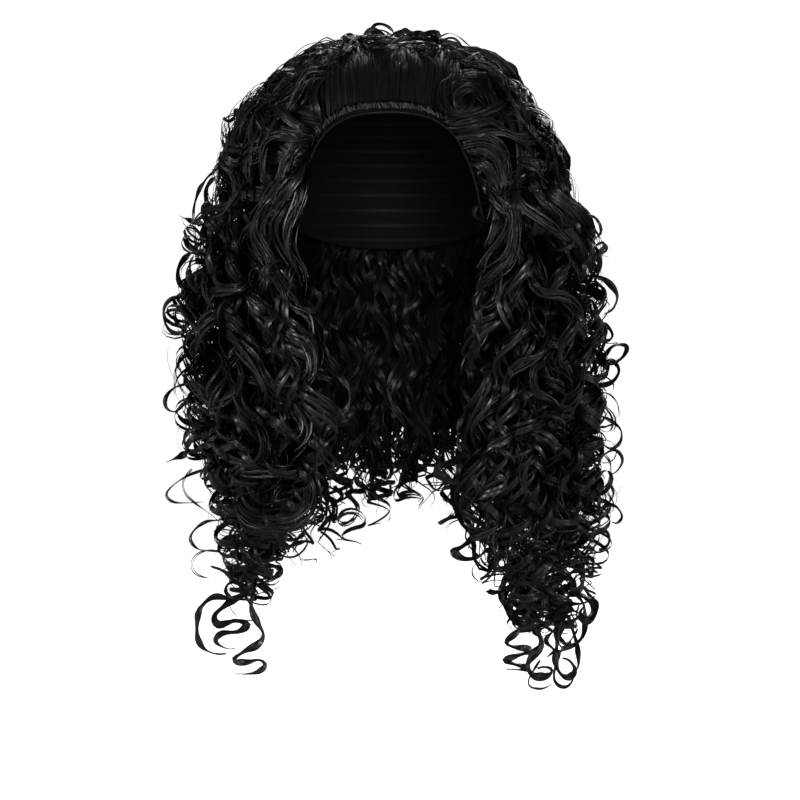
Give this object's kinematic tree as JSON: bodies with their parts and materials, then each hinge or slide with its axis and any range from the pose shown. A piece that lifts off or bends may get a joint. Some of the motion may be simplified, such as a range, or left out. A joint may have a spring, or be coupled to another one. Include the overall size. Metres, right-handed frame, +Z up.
{
  "type": "curly wig",
  "caption": "Long full wig of glossy dark curls, swept back from the hairline and falling in loose ringlets beside the face, sewn on a hollow fitted cap.",
  "frame": {"origin": "the point inside the cap that rests on the top of the wearer's head", "axes": "+Z up, the face opening looks along -Y, +X is to the right when looking at the face opening"},
  "size_m": [0.3105, 0.2422, 0.4685],
  "materials": {
    "hair": "glossy black synthetic fibre",
    "cap_net": "matt black stretch net with sewn rows",
    "edge_tape": "matt black woven tape"
  },
  "bodies": {
    "root": {"cap": "cap_net", "hairline_band": "edge_tape", "crown_hair": "hair", "side_hair_left": "hair", "side_hair_right": "hair", "back_hair_left": "hair", "back_hair_right": "hair", "back_hair_middle": "hair"}
  },
  "joints": []
}
